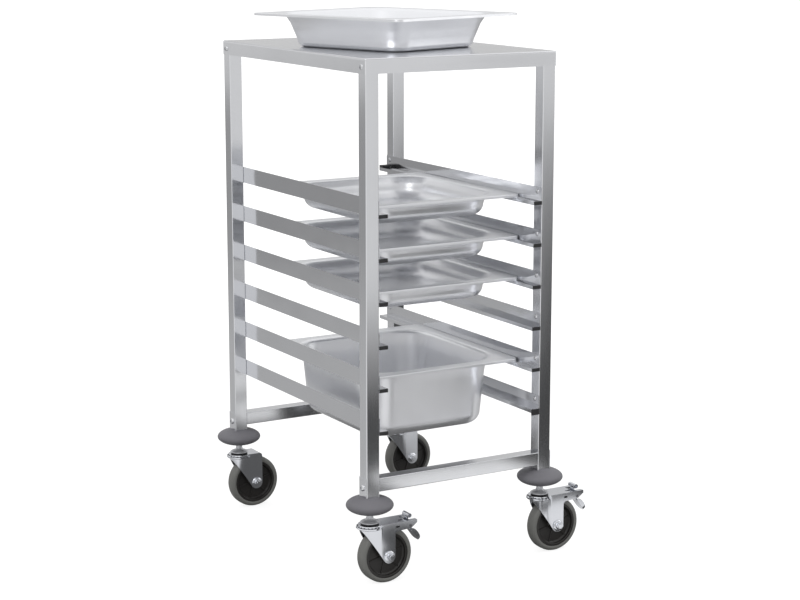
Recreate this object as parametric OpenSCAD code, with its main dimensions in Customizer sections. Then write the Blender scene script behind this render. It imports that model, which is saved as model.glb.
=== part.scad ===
// Gastronorm tray trolley: folded table top on four square legs, six pairs of runners, five pans and
// four swivel casters.
// Origin on the floor under the middle of the outer box. +X is the trolley's right, +Y its rear, +Z up.

/* [Table] */
// Width of the table top, left to right
table_w = 380; // [340:5:460]
// Depth of the table top, front to rear
table_d = 550; // [480:5:700]
// Height of the table's upper face above the floor
table_h = 910; // [840:5:1000]
// Height of the turned-down edge of the table top
skirt_h = 26; // [18:1:40]
// Thickness of the table sheet
table_sheet = 1; // [0.8:0.1:2]

/* [Frame] */
// Side of the square leg tube
leg_size = 25; // [22:1:32]
// Wall of the leg and crossbar tubes
tube_wall = 1.2; // [1:0.1:2.5]
// Side of the square crossbar tube
bar_size = 24; // [16:1:25]
// Height of the crossbar's underside above the foot of the leg
bar_lift = 9.5; // [4:0.5:40]
// Height of the insert pushed into the foot of each leg
insert_h = 35; // [24:1:60]
// Thickness of the plate on the outer side of each leg foot
foot_plate_t = 1.2; // [0.8:0.1:3]

/* [Runners] */
// Number of runner pairs
runner_pairs = 6; // [6:1:6]
// Distance from one ledge to the next
runner_pitch = 75; // [70:1:80]
// Drop from the table's upper face to the upper face of the first ledge
first_ledge_drop = 261.5; // [240:0.5:280]
// Height of a runner from the underside of its ledge to its top edge
runner_h = 30; // [26:1:40]
// Reach of the ledge inwards from the face of the leg
ledge_reach = 16.5; // [13:0.5:20]
// Height of the hollow ledge
ledge_h = 6.5; // [5:0.5:9]
// Thickness of the runner sheet
runner_sheet = 0.8; // [0.6:0.1:0.9]
// Length of a rear stop
stop_l = 12; // [8:1:40]
// Height of a rear stop above the ledge
stop_rise = 4.5; // [3:0.5:8]
// Height of the front plug of the lowest right runner
tall_plug_h = 11; // [7:0.5:14]

/* [Pans] */
// Play between the rim of a pan and the runner on each side of it; the pans are as wide as it leaves
pan_play = 0.7; // [0.4:0.1:3]
// Length of a pan over its rim, front to rear
pan_l = 354; // [300:1:420]
// Depth of the three shallow pans
shallow_depth = 40; // [30:1:55]
// Depth of the deep pan
deep_depth = 125; // [90:1:130]
// Depth of the pan that stands on the table
table_pan_depth = 60; // [40:1:100]
// Width of the flat rim round a pan
rim_w = 17; // [16:0.5:20]
// Width of the sloped shoulder between the rim and the wall
shoulder_w = 12; // [6:1:16]
// Height of the shoulder
shoulder_h = 6; // [3:0.5:8]
// Height of the turned-down edge of the rim
lip_h = 4.5; // [3:0.5:7]
// Thickness of the pan sheet
pan_sheet = 1; // [0.8:0.1:1.5]
// Outer corner radius of the rim
rim_r = 14; // [8:1:24]
// Corner radius of the pan's body at the top
body_r = 56; // [52:1:64]
// Radius between wall and floor of a shallow pan
shallow_floor_r = 20; // [8:1:22]
// Radius between wall and floor of the deep pan
deep_floor_r = 22; // [8:1:26]
// Radius between wall and floor of the table pan
table_pan_floor_r = 12; // [8:1:18]
// How far a shallow pan's wall leans in on the way down, as a run over a rise of one
shallow_lean = 0.35; // [0.05:0.01:0.4]
// Lean of the deep pan's wall
deep_lean = 0.1; // [0.02:0.01:0.16]
// Lean of the table pan's wall
table_pan_lean = 0.42; // [0.05:0.01:0.45]
// Distance of the shelf pans' middle in front of the trolley's middle
pan_forward = 34; // [20:1:60]
// Turn of the pan that stands on the table, in degrees
table_pan_turn = 18; // [0:1:24]
// Place of the table pan's middle, towards the trolley's left
table_pan_left = 12; // [0:1:14]
// Place of the table pan's middle, towards the front
table_pan_forward = 30; // [0:1:40]

/* [Casters] */
// Diameter of a wheel over its tyre
wheel_d = 100; // [80:1:110]
// Width of the tyre
tyre_w = 24; // [18:1:26]
// Thickness of the tyre
tyre_t = 9; // [5:0.5:14]
// Distance of the axle behind the swivel axis
trail = 28.5; // [20:0.5:36]
// Gap between the tyre and the underside of the fork's top
wheel_gap = 6.5; // [4:0.5:12]
// Thickness of the fork sheet
fork_sheet = 2.5; // [2:0.25:4]
// Width of the fork over its two sides
fork_w = 38; // [36:1:46]
// Radius of the fork's feet round the axle
foot_r = 12; // [9.5:0.5:15]
// Radius of the round crown of the fork
crown_r = 24; // [22:0.5:32]
// Depth of the crown's edge
crown_h = 7; // [4:0.5:9]
// Radius of the swivel head above the crown
head_r = 17; // [15:0.5:20]
// Height of the swivel head
head_h = 7; // [6:0.5:14]
// Height of the bearing ring between crown and head
race_h = 2.6; // [2:0.1:5]
// Length of bare stem between swivel head and bumper
neck_h = 10; // [4:0.5:14]
// Diameter of the stem
stem_d = 10; // [8:0.5:12]
// Diameter of the pin on which the fork swivels
kingpin_d = 12; // [10:0.5:14]
// Diameter of the axle bolt
axle_d = 8; // [6:0.5:10]
// Diameter of the bumper disc
bumper_d = 83; // [60:1:100]
// Height of the bumper disc
bumper_h = 29; // [16:1:34]

/* [Brakes] */
// Distance from the swivel axis to the end of a front fork's tail
tail_reach = 84; // [80:1:96]
// Distance of the pedal's pin from the end of the tail
pin_inset = 13.5; // [12:0.5:16]
// Diameter of the pedal's pin
pin_d = 4; // [3:0.5:5]
// Length of the brake pad below the pin
pad_l = 42; // [38:1:42]
// Width of the brake pad
pad_w = 20; // [14:1:20]
// Distance from the pin to the rolled upper edge of the pedal
tab_l = 15.5; // [14:0.5:18]
// Width of the pedal's rolled upper edge
tab_w = 20; // [14:1:20]

/* [Hidden] */

$fn = 48;

// Clearances and small sizes
run_fit = 0.05;
screw_fit = 0.1;
plug_fit = 0.2;
rest_gap = 0.3;
cut = 1;
screw_d = 4;
screw_head_r = 4;
screw_head_h = 2;
screw_l = 8;
bolt_d = 6;
bolt_head_r = 5.8;
bolt_head_h = 3.4;
screw_drop = 8;
plug_head = 1.5;
plug_l = 12;
pad_t = 2.5;
pad_lean = 54;
tab_lean = 77;
roll_r = 4;
pedal_neck_w = 10;

// Heights up the caster, from the floor to the foot of the leg
axle_z = wheel_d / 2;
fork_top_z = wheel_d + wheel_gap + fork_sheet;
race_z = fork_top_z + rest_gap;
head_z = race_z + race_h;
neck_z = head_z + head_h;
bumper_z = neck_z + neck_h;
leg_foot_z = bumper_z + bumper_h;

// Places of the legs
leg_x = table_w / 2 - table_sheet - leg_size / 2;
leg_y = table_d / 2 - table_sheet - leg_size / 2;
leg_top_z = table_h - table_sheet;
leg_face_x = leg_x - leg_size / 2;
pan_w = 2 * (leg_face_x - runner_sheet - pan_play);
table_screw_z = table_h - 14.5;
foot_bolt_z = leg_foot_z + insert_h / 2;

// The pedal's pin, measured from the swivel axis
pin_x = tail_reach - pin_inset;
pin_z = fork_top_z - 9.5;

// The outer box runs from the left bumpers to the tips of the brake pads
pad_tip_x = pin_x + pad_l * cos(pad_lean) + pad_t / 2 * sin(pad_lean);
box_left = -leg_x - bumper_d / 2;
box_right = leg_x + max(tail_reach, pad_tip_x);
shift_x = -(box_left + box_right) / 2;

// Ledges, and the size of the hollow inside one for what is pushed into its ends
function ledge_z(level) = table_h - first_ledge_drop - (level - 1) * runner_pitch;
runner_l = table_d - 2 * table_sheet;
bore_w = ledge_reach - 2 * runner_sheet - plug_fit;
bore_h = ledge_h - 2 * runner_sheet - plug_fit;

// Outline of a rounded rectangle, one vertex every (90 / steps) degrees round each corner
function rounded(w, l, r, steps = 8) = [
    for (corner = [0:3], i = [0:steps])
        let (turn = corner * 90 + i * 90 / steps,
             sx = (corner == 0 || corner == 3) ? 1 : -1,
             sy = (corner < 2) ? 1 : -1)
        [sx * (w / 2 - r) + r * cos(turn), sy * (l / 2 - r) + r * sin(turn)]];

module placed() {
    translate([shift_x, 0, 0]) children();
}

module box_at(low, high) {
    translate(low) cube(high - low);
}

// Round rods along X and along Y
module rod_x(x0, x1, y, z, r) {
    translate([x0, y, z]) rotate([0, 90, 0]) cylinder(r = r, h = x1 - x0);
}

module rod_y(x, y0, y1, z, r) {
    translate([x, y0, z]) rotate([-90, 0, 0]) cylinder(r = r, h = y1 - y0);
}

// Table top: one sheet folded down on four sides
module table_top() {
    color("#C4C5C7") placed() difference() {
        box_at([-table_w / 2, -table_d / 2, table_h - skirt_h], [table_w / 2, table_d / 2, table_h]);
        box_at([-table_w / 2 + table_sheet, -table_d / 2 + table_sheet, table_h - skirt_h - cut],
               [table_w / 2 - table_sheet, table_d / 2 - table_sheet, leg_top_z]);
        for (sx = [-1, 1], sy = [-1, 1])
            rod_x(sx * table_w / 2 - 2 * table_sheet, sx * table_w / 2 + 2 * table_sheet,
                  sy * leg_y, table_screw_z, screw_d / 2 + screw_fit);
    }
}

// Leg: square tube with holes for the runner screws, the table screw and the foot bolt
module leg(sx, sy) {
    color("#BFC0C3") placed() translate([sx * leg_x, sy * leg_y, 0]) difference() {
        box_at([-leg_size / 2, -leg_size / 2, leg_foot_z], [leg_size / 2, leg_size / 2, leg_top_z]);
        box_at([-leg_size / 2 + tube_wall, -leg_size / 2 + tube_wall, leg_foot_z - cut],
               [leg_size / 2 - tube_wall, leg_size / 2 - tube_wall, leg_top_z + cut]);
        for (level = [1:runner_pairs])
            wall_hole(-sx, ledge_z(level) - ledge_h + runner_h - screw_drop, screw_d / 2 + screw_fit);
        wall_hole(sx, table_screw_z, screw_d / 2 + screw_fit);
        wall_hole(sx, foot_bolt_z, bolt_d / 2 + screw_fit);
    }
}
module wall_hole(side, z, r) {
    rod_x(side * leg_size / 2 - 2 * tube_wall, side * leg_size / 2 + 2 * tube_wall, 0, z, r);
}

// Crossbar between two legs
module crossbar(sy) {
    bottom = leg_foot_z + bar_lift;
    color("#B4B5B8") placed() translate([0, sy * leg_y, 0]) difference() {
        box_at([-leg_face_x, -bar_size / 2, bottom], [leg_face_x, bar_size / 2, bottom + bar_size]);
        box_at([-leg_face_x - cut, -bar_size / 2 + tube_wall, bottom + tube_wall],
               [leg_face_x + cut, bar_size / 2 - tube_wall, bottom + bar_size - tube_wall]);
    }
}

// Runner: upright flange on the legs with a hollow folded ledge along its foot
module runner(side, level) {
    top = ledge_z(level);
    color("#A9AAAD") placed() mirror([side < 0 ? 1 : 0, 0, 0]) difference() {
        union() {
            box_at([leg_face_x - runner_sheet, -runner_l / 2, top - ledge_h],
                   [leg_face_x, runner_l / 2, top - ledge_h + runner_h]);
            box_at([leg_face_x - ledge_reach, -runner_l / 2, top - ledge_h], [leg_face_x, runner_l / 2, top]);
        }
        box_at([leg_face_x - ledge_reach + runner_sheet, -runner_l / 2 - cut, top - ledge_h + runner_sheet],
               [leg_face_x - runner_sheet, runner_l / 2 + cut, top - runner_sheet]);
        for (sy = [-1, 1])
            rod_x(leg_face_x - 2 * runner_sheet, leg_face_x + runner_sheet, sy * leg_y,
                  top - ledge_h + runner_h - screw_drop, screw_d / 2 + screw_fit);
    }
}

// One end plug: a head that covers the end of the ledge, from its top down, and a body inside the ledge
module end_plug(side, sy, level, head_h = ledge_h) {
    mid_x = side * (leg_face_x - ledge_reach / 2);
    translate([mid_x, sy * runner_l / 2, ledge_z(level)]) mirror([0, sy < 0 ? 1 : 0, 0]) {
        translate([-ledge_reach / 2, 0, -head_h]) cube([ledge_reach, plug_head, head_h]);
        translate([-bore_w / 2, -plug_l, -(ledge_h + bore_h) / 2])
            cube([bore_w, plug_l + plug_head / 2, bore_h]);
    }
}

module runner_end_plugs() {
    color("#2F2F31") placed() {
        for (side = [-1, 1], level = [1:runner_pairs])
            end_plug(side, -1, level, (side > 0 && level == runner_pairs) ? tall_plug_h : ledge_h);
        for (side = [-1, 1], level = [2:runner_pairs])
            end_plug(side, 1, level);
    }
}

// Rear stops: plugs of the top pair whose heads run up into a block on the ledge
module runner_rear_stops() {
    block_w = ledge_reach - runner_sheet - rest_gap;
    color("#1F1F20") placed() for (side = [-1, 1]) {
        end_plug(side, 1, 1);
        translate([side * (leg_face_x - ledge_reach + block_w / 2), runner_l / 2, ledge_z(1)]) {
            translate([-block_w / 2, -stop_l, 0]) cube([block_w, stop_l + plug_head, stop_rise]);
            translate([-block_w / 2, 0, -ledge_h / 2]) cube([block_w, plug_head, ledge_h / 2 + stop_rise]);
        }
    }
}

// Button-headed screw along X, its head standing on the face at x and its shank going the way of dir
module button_screw(x, y, z, dir, r, head_r, head_h, l) {
    translate([x, y, z]) rotate([0, dir * 90, 0]) {
        translate([0, 0, -head_h]) cylinder(r1 = head_r * 0.6, r2 = head_r, h = head_h, $fn = 32);
        translate([0, 0, -head_h / 2]) cylinder(r = r, h = l + head_h / 2, $fn = 24);
    }
}

module runner_screws() {
    color("#D8D9DB") placed() for (side = [-1, 1], sy = [-1, 1], level = [1:runner_pairs])
        button_screw(side * (leg_face_x - runner_sheet), sy * leg_y,
                     ledge_z(level) - ledge_h + runner_h - screw_drop, side,
                     screw_d / 2, screw_head_r, screw_head_h, screw_l);
}

module table_screws() {
    color("#D8D9DB") placed() for (side = [-1, 1], sy = [-1, 1])
        button_screw(side * table_w / 2, sy * leg_y, table_screw_z, -side,
                     screw_d / 2, screw_head_r, screw_head_h, screw_l);
}

// Insert in the foot of each leg: it holds the caster's stem, and the foot bolt holds it
module leg_inserts() {
    side = leg_size - 2 * tube_wall - 2 * plug_fit;
    bolt_r = bolt_d / 2 + screw_fit;
    color("#6E6F72") placed() for (sx = [-1, 1], sy = [-1, 1])
        translate([sx * leg_x, sy * leg_y, leg_foot_z]) difference() {
            translate([-side / 2, -side / 2, 0]) cube([side, side, insert_h]);
            translate([0, 0, -cut]) cylinder(d = stem_d + 2 * run_fit, h = insert_h + 2 * cut);
            rod_x(sx > 0 ? 0 : -side, sx > 0 ? side : 0, 0, insert_h / 2, bolt_r);
        }
}

// Plate on the outer side of each leg foot, under the head of the foot bolt
module leg_foot_plates() {
    color("#C9CACC") placed() for (sx = [-1, 1], sy = [-1, 1])
        translate([sx * (leg_x + leg_size / 2 + foot_plate_t / 2), sy * leg_y, foot_bolt_z]) difference() {
            cube([foot_plate_t, leg_size - 2 * plug_fit, insert_h], center = true);
            rod_x(-cut, cut, 0, 0, bolt_d / 2 + screw_fit);
        }
}

module leg_foot_bolts() {
    reach = leg_size / 2 - stem_d / 2 + foot_plate_t - cut;
    color("#DCDDDF") placed() for (side = [-1, 1], sy = [-1, 1])
        button_screw(side * (leg_x + leg_size / 2 + foot_plate_t), sy * leg_y, foot_bolt_z, -side,
                     bolt_d / 2, bolt_head_r, bolt_head_h, reach);
}

// Bumper: round rubber buffer between the swivel head and the leg, bored for the stem
module bumper() {
    half = bumper_h / 2;
    seat_r = leg_size * 0.72;
    steps = 16;
    ends = acos(seat_r / (bumper_d / 2));
    color("#6C6B70") translate([0, 0, bumper_z + half]) difference() {
        rotate_extrude($fn = 64) polygon(concat(
            [[0, -half]],
            [for (i = [0:steps])
                let (turn = -ends + 2 * ends * i / steps)
                [bumper_d / 2 * cos(turn), half * sin(turn) / sin(ends)]],
            [[0, half]]));
        cylinder(d = stem_d + 2 * run_fit, h = bumper_h + 2 * cut, center = true);
    }
}

// Stem with the domed swivel head and the pin on which the fork turns
module caster_stem() {
    pin_head_h = 3;
    pin_foot = fork_top_z - fork_sheet - rest_gap - pin_head_h;
    edge = 1;
    neck_r = stem_d / 2 + 1;
    stem_end = leg_foot_z + insert_h - 3;
    color("#C8C9CC") {
        translate([0, 0, head_z]) rotate_extrude($fn = 64)
            polygon([[0, 0], [head_r - edge, 0], [head_r, edge], [head_r, head_h * 0.3],
                     [head_r - 2.5, head_h * 0.5], [neck_r + 2, head_h * 0.7], [neck_r + 1, head_h],
                     [neck_r, head_h + neck_h / 3], [neck_r, head_h + neck_h], [stem_d / 2, head_h + neck_h],
                     [stem_d / 2, stem_end - head_z], [0, stem_end - head_z]]);
        translate([0, 0, pin_foot + edge]) cylinder(d = kingpin_d, h = head_z - pin_foot);
        translate([0, 0, pin_foot]) cylinder(r = kingpin_d / 2 + 3, h = pin_head_h);
    }
}

// Dark ring round the balls between the crown of the fork and the swivel head
module swivel_ring() {
    translate([0, 0, race_z]) difference() {
        cylinder(r = head_r - 1, h = race_h);
        translate([0, 0, -cut]) cylinder(d = kingpin_d + 2 * rest_gap, h = race_h + 2 * cut);
    }
}

// Where the line from the nose of the fork touches its round foot
function tangent_point(px, pz) =
    let (dx = px - trail, dz = pz - axle_z, far = norm([dx, dz]),
         turn = atan2(dz, dx) + acos(foot_r / far))
    [trail + foot_r * cos(turn), axle_z + foot_r * sin(turn)];

// Side view of the fork: slanted in front, round at the axle, upright behind. A front fork's tail runs on
// as the brake's channel, with a hollow corner under it; a rear fork's ends in a round corner.
module fork_side(braked) {
    nose_z = fork_top_z - crown_h;
    nose_x = -fork_w / 2 - 1;
    tail_x = trail + foot_r;
    bend = 6;
    flange_z = fork_top_z - 15.5;
    tip_h = 5;
    back = braked
        ? [[tail_x, flange_z - bend], [tail_x + bend, flange_z], [pin_x + 2, pin_z - pin_d],
           [tail_reach, fork_top_z - tip_h], [tail_reach, fork_top_z]]
        : [[tail_x, fork_top_z - bend], [tail_x - bend, fork_top_z]];
    difference() {
        polygon(concat([[nose_x, nose_z], tangent_point(nose_x, nose_z), [trail, axle_z], [tail_x, axle_z]],
                       back, [[nose_x, fork_top_z]]));
        if (braked) translate([tail_x + bend, flange_z - bend]) circle(r = bend);
    }
    if (!braked) translate([tail_x - bend, fork_top_z - bend]) circle(r = bend);
    translate([trail, axle_z]) circle(r = foot_r);
}

// Plan of the fork, from the long round nose to the straight tails, which begin at the foot's front edge
module fork_plan(inset) {
    half = fork_w / 2 - inset;
    flat_x = trail - foot_r;
    nose_l = flat_x + half;
    steps = 32;
    polygon(concat([[tail_reach + inset, -half], [tail_reach + inset, half]],
                   [for (i = [0:steps]) let (turn = 90 + 180 * i / steps)
                       [flat_x + nose_l * cos(turn), half * sin(turn)]]));
}

// Crown of the fork: stepped round edge under the bearing ring
module crown() {
    step = 3;
    edge = 1;
    translate([0, 0, fork_top_z - crown_h]) rotate_extrude($fn = 64)
        polygon([[0, 0], [crown_r - edge, 0], [crown_r, edge], [crown_r, crown_h / 2],
                 [crown_r - step, crown_h / 2 + edge], [crown_r - step, crown_h], [0, crown_h]]);
}

// Fork: pressed sheet, open below and behind, with the round crown on top
module fork(braked) {
    under_z = fork_top_z - fork_sheet;
    notch_w = tab_w + 1.5;
    notch_l = tail_reach - pin_x + 7;
    slot = [9, 5];
    slot_at = [52, -10];
    eye_r = 1.8;
    eye_z = fork_top_z - 7.5;
    color("#C3C4C7") difference() {
        union() {
            intersection() {
                linear_extrude(height = fork_top_z) fork_plan(0);
                translate([0, fork_w, 0]) rotate([90, 0, 0])
                    linear_extrude(height = 2 * fork_w) fork_side(braked);
            }
            crown();
        }
        translate([0, 0, -cut]) linear_extrude(height = under_z + cut) fork_plan(fork_sheet);
        translate([0, 0, under_z - cut]) cylinder(d = kingpin_d + 2 * run_fit, h = fork_sheet + 2 * cut);
        rod_y(trail, -fork_w, fork_w, axle_z, axle_d / 2 + run_fit);
        if (braked) {
            rod_y(pin_x, -fork_w, fork_w, pin_z, pin_d / 2 + run_fit);
            box_at([tail_reach - notch_l, -notch_w / 2, under_z - cut],
                   [tail_reach + cut, notch_w / 2, fork_top_z + cut]);
            box_at([slot_at[0], slot_at[1], under_z - cut],
                   [slot_at[0] + slot[0], slot_at[1] + slot[1], fork_top_z + cut]);
            for (x = [43, 47])
                rod_y(x, -fork_w, fork_w, eye_z, eye_r);
            box_at([43, -fork_w, eye_z - eye_r], [47, fork_w, eye_z + eye_r]);
        }
    }
}

// Axle: bolt with a hexagon head behind and a nut with the bolt's end in front
module axle() {
    nut_w = axle_d * 0.8;
    color("#B8B9BC") {
        rod_y(trail, -fork_w / 2 - nut_w - 2, fork_w / 2 + 1, axle_z, axle_d / 2);
        translate([trail, fork_w / 2, axle_z]) rotate([-90, 0, 0])
            cylinder(r = axle_d * 0.92, h = axle_d * 0.65, $fn = 6);
        translate([trail, -fork_w / 2, axle_z]) rotate([90, 0, 0]) {
            cylinder(r = foot_r - 1.5, h = 1.2);
            translate([0, 0, 1]) cylinder(r = axle_d * 0.92, h = nut_w, $fn = 6);
        }
    }
}

// Hub: moulded wheel body with a long boss on the axle and ribs on both faces of its web
module hub() {
    rim_outer = wheel_d / 2 - tyre_t;
    rim_inner = rim_outer - 5;
    boss_r = axle_d / 2 + 6;
    boss_w = fork_w - 2 * fork_sheet - 2 * rest_gap;
    web_w = tyre_w * 0.3;
    ribs = 6;
    color("#26262A") translate([trail, 0, axle_z]) rotate([90, 0, 0]) difference() {
        union() {
            difference() {
                cylinder(r = rim_outer, h = tyre_w - 2, center = true, $fn = 96);
                cylinder(r = rim_inner, h = tyre_w + cut, center = true, $fn = 96);
            }
            cylinder(r = rim_inner + cut, h = web_w, center = true, $fn = 96);
            cylinder(r = boss_r, h = boss_w, center = true);
            for (i = [0:ribs - 1])
                rotate([0, 0, i * 360 / ribs]) translate([0, -1.5, -(tyre_w - 8) / 2])
                    cube([rim_inner + cut, 3, tyre_w - 8]);
        }
        cylinder(r = axle_d / 2 + run_fit, h = boss_w + 2 * cut, center = true);
    }
}

// Tyre: rubber ring with a slightly rounded tread
module tyre() {
    outer = wheel_d / 2;
    inner = outer - tyre_t;
    half = tyre_w / 2;
    color("#6A6A69") translate([trail, 0, axle_z]) rotate([90, 0, 0]) rotate_extrude($fn = 96)
        polygon([[inner, -half + 1], [outer - 6, -half], [outer - 2, -half + 2], [outer - 0.6, -half + 5],
                 [outer, 0], [outer - 0.6, half - 5], [outer - 2, half - 2], [outer - 6, half],
                 [inner, half - 1]]);
}

// Pin of the brake pedal, with a low head outside each flange of the fork's tail
module brake_pin() {
    head = 0.8;
    color("#55565A") {
        rod_y(pin_x, -fork_w / 2 - head, fork_w / 2 + head, pin_z, pin_d / 2);
        for (sy = [-1, 1])
            rod_y(pin_x, sy * (fork_w + head) / 2 - head / 2, sy * (fork_w + head) / 2 + head / 2, pin_z,
                  pin_d / 2 + 1);
    }
}

// Brake pedal: rocker on the pin, with a rolled edge for the foot above and the brake pad below
module brake_pedal() {
    sleeve_r = pin_d / 2 + 2.5;
    sleeve_w = fork_w - 2 * fork_sheet - 2;
    roll_x = tab_l * cos(tab_lean);
    roll_z = tab_l * sin(tab_lean);
    pad_r = pad_w / 2;
    color("#9FA0A3") translate([pin_x, 0, pin_z]) difference() {
        union() {
            rod_y(0, -sleeve_w / 2, sleeve_w / 2, 0, sleeve_r);
            rod_y(roll_x, -tab_w / 2, tab_w / 2, roll_z, roll_r);
            rotate([0, -tab_lean, 0]) translate([0, -pedal_neck_w / 2, -pad_t / 2])
                cube([tab_l, pedal_neck_w, pad_t]);
            rotate([0, pad_lean, 0]) translate([0, 0, -pad_t / 2]) {
                translate([0, -pedal_neck_w / 2, 0]) cube([pad_l - 2 * pad_r, pedal_neck_w, pad_t]);
                translate([pad_l - 2 * pad_r, 0, 0]) cylinder(r = pad_r, h = pad_t);
                translate([pad_l - 2 * pad_r, -pad_r, 0]) cube([pad_r, pad_w, pad_t]);
                translate([pad_l - pad_r, 0, 0]) cylinder(r = pad_r, h = pad_t);
            }
        }
        rod_y(0, -fork_w, fork_w, 0, pin_d / 2 + run_fit);
        rod_y(roll_x, -fork_w, fork_w, roll_z, roll_r - 1.2);
    }
}

// Pan: thin pressed tray with leaning walls, a round floor edge, a sloped shoulder and a flat rim with a lip
module pan(depth, lean, edge_r) {
    top_w = pan_w - 2 * (rim_w + shoulder_w);
    top_l = pan_l - 2 * (rim_w + shoulder_w);
    in_w = top_w - 2 * pan_sheet;
    in_l = top_l - 2 * pan_sheet;
    in_r = body_r - pan_sheet;
    color("#BDBEC1") translate([0, 0, depth]) difference() {
        union() {
            translate([0, 0, -pan_sheet])
                linear_extrude(height = pan_sheet) polygon(rounded(pan_w, pan_l, rim_r));
            translate([0, 0, -lip_h]) linear_extrude(height = lip_h) difference() {
                polygon(rounded(pan_w, pan_l, rim_r));
                polygon(rounded(pan_w - 2 * pan_sheet, pan_l - 2 * pan_sheet, rim_r - pan_sheet));
            }
            translate([0, 0, -pan_sheet]) shoulder(top_w, top_l, body_r, 0);
            pan_body(top_w, top_l, body_r, depth, lean, edge_r);
        }
        shoulder(in_w, in_l, in_r, cut);
        pan_body(in_w, in_l, in_r, depth - pan_sheet, lean, edge_r - pan_sheet, cut);
    }
}

// The filled shape of the shoulder above a wall of outline w by l: it widens upwards, on to z = rise
module shoulder(w, l, r, rise) {
    spread = shoulder_w * (1 + rise / shoulder_h);
    hull() {
        slice(w + 2 * spread, l + 2 * spread, r + spread, rise);
        slice(w, l, r, -shoulder_h);
    }
}

// The filled shape of a pan's body: slices from its mouth down to its floor, hung from z = 0
module pan_body(w, l, r, depth, lean, edge_r, rise = 0) {
    hull() {
        slice(w + 2 * lean * rise, l + 2 * lean * rise, r, rise);
        for (i = [0:4])
            let (turn = i * 90 / 4,
                 inset = lean * (depth - edge_r) + edge_r * (1 - cos(turn)))
            slice(w - 2 * inset, l - 2 * inset, r - inset, -depth + edge_r * (1 - sin(turn)));
    }
}
module slice(w, l, r, z) {
    translate([0, 0, z]) linear_extrude(height = 0.001) polygon(rounded(w, l, r));
}

module shelf_pan(level, depth, lean, edge_r) {
    placed() translate([0, -pan_forward, ledge_z(level) + lip_h - depth]) pan(depth, lean, edge_r);
}

module pan_on_table() {
    placed() translate([-table_pan_left, -table_pan_forward, table_h]) rotate([0, 0, table_pan_turn])
        pan(table_pan_depth, table_pan_lean, table_pan_floor_r);
}

module at_corner(sx, sy) {
    placed() translate([sx * leg_x, sy * leg_y, 0]) children();
}

module swivel_rings() {
    color("#202022") for (sx = [-1, 1], sy = [-1, 1]) at_corner(sx, sy) swivel_ring();
}

CORNERS = [["front_left", -1, -1], ["front_right", 1, -1], ["rear_left", -1, 1], ["rear_right", 1, 1]];

table_top();
for (c = CORNERS) leg(c[1], c[2]);
crossbar(-1);  // crossbar_front
crossbar(1);  // crossbar_rear
for (n = [1:6]) runner(-1, n);
for (n = [1:6]) runner(1, n);
runner_end_plugs();
runner_rear_stops();
runner_screws();
table_screws();
leg_inserts();
leg_foot_plates();
leg_foot_bolts();
for (c = CORNERS) at_corner(c[1], c[2]) bumper();
for (c = CORNERS) at_corner(c[1], c[2]) caster_stem();
swivel_rings();
for (c = CORNERS) at_corner(c[1], c[2]) fork(c[2] < 0);
for (c = CORNERS) at_corner(c[1], c[2]) axle();
for (c = CORNERS) at_corner(c[1], c[2]) hub();
for (c = CORNERS) at_corner(c[1], c[2]) tyre();
at_corner(-1, -1) brake_pin();  // brake_pin_left
at_corner(1, -1) brake_pin();  // brake_pin_right
at_corner(-1, -1) brake_pedal();  // brake_pedal_left
at_corner(1, -1) brake_pedal();  // brake_pedal_right
shelf_pan(1, shallow_depth, shallow_lean, shallow_floor_r);  // pan_level_1
shelf_pan(2, shallow_depth, shallow_lean, shallow_floor_r);  // pan_level_2
shelf_pan(3, shallow_depth, shallow_lean, shallow_floor_r);  // pan_level_3
shelf_pan(5, deep_depth, deep_lean, deep_floor_r);  // pan_level_5
pan_on_table();
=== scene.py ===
"""Gastronorm tray trolley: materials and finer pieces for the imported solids, a camera and studio light."""

from math import acos, cos, degrees, hypot, pi, radians, sin

import bmesh
import bpy
from mathutils import Matrix, Vector


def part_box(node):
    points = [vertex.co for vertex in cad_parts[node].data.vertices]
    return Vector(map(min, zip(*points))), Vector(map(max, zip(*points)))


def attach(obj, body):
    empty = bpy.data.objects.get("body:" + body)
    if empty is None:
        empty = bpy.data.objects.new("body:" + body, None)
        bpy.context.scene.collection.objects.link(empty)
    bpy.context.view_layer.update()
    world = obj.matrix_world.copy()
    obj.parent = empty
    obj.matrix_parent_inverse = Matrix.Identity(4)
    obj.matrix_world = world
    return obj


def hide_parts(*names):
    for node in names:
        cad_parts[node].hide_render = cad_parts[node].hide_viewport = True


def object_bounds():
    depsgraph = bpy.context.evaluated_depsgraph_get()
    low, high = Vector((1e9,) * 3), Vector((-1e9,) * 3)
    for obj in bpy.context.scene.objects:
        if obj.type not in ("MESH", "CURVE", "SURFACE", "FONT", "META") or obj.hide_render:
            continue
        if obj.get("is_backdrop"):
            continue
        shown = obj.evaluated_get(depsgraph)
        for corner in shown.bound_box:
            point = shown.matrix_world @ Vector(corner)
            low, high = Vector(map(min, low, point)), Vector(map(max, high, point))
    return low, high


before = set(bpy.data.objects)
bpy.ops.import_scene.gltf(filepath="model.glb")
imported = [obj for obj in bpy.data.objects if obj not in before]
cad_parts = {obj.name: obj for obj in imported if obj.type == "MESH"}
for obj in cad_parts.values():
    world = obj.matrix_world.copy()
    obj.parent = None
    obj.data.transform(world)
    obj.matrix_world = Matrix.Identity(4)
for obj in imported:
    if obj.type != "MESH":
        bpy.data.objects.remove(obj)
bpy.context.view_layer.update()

MM = 0.001
scene = bpy.context.scene

# Sizes of the frame and the runners in millimetres; these and the next two groups follow the part's source
TABLE_H = 910
SKIRT_H = 26
SHEET = 1
LEG = 25
TUBE_WALL = 1.2
LEDGE_TOPS = [648.5 - 75 * n for n in range(6)]
LEDGE_H = 6.5
RUNNER_H = 30
RUNNER_SHEET = 0.8
SCREW_DROP = 8
TABLE_SCREW_DROP = 14.5

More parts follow.
